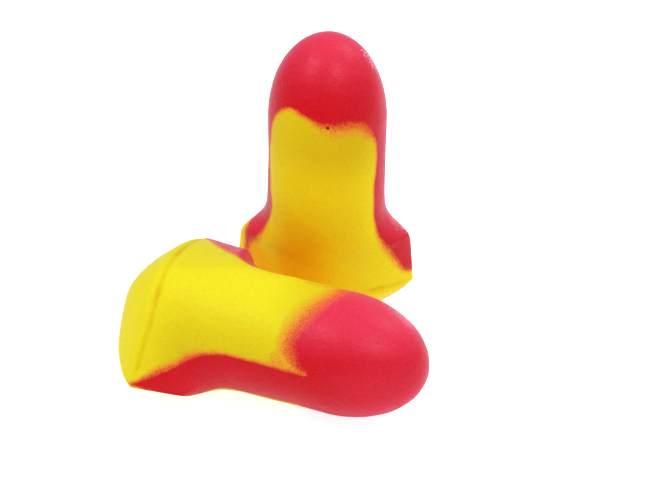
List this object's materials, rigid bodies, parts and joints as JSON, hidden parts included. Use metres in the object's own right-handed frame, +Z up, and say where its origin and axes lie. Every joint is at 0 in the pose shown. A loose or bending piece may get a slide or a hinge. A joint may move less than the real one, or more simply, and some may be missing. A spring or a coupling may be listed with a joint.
{
  "type": "foam ear plugs",
  "caption": "Pair of soft T-shaped foam ear plugs with a round stem, ellipsoid tip, winged base and low domed end; one stands upright and one lies on its side.",
  "frame": {"origin": "centre of the small flat that the upright plug stands on", "axes": "+Z up along the upright plug's stem, +X along its two wings, +Y from its front panel to its back panel"},
  "size_m": [0.0282, 0.0282, 0.0288],
  "materials": {
    "yellow_foam": "soft slow-recovery foam, dyed bright yellow through, fine closed cells, satin skin",
    "magenta_foam": "soft slow-recovery foam, dyed magenta through, fine closed cells, satin skin"
  },
  "bodies": {
    "upright_plug": {"upright_plug_yellow_foam": "yellow_foam", "upright_plug_magenta_foam": "magenta_foam"},
    "lying_plug": {"lying_plug_yellow_foam": "yellow_foam", "lying_plug_magenta_foam": "magenta_foam"}
  },
  "joints": [
    {"name": "lying_plug_lift", "type": "slide", "parent": "upright_plug", "child": "lying_plug", "axis": [0, 0, 1], "range_m": [0, 0.03]}
  ]
}
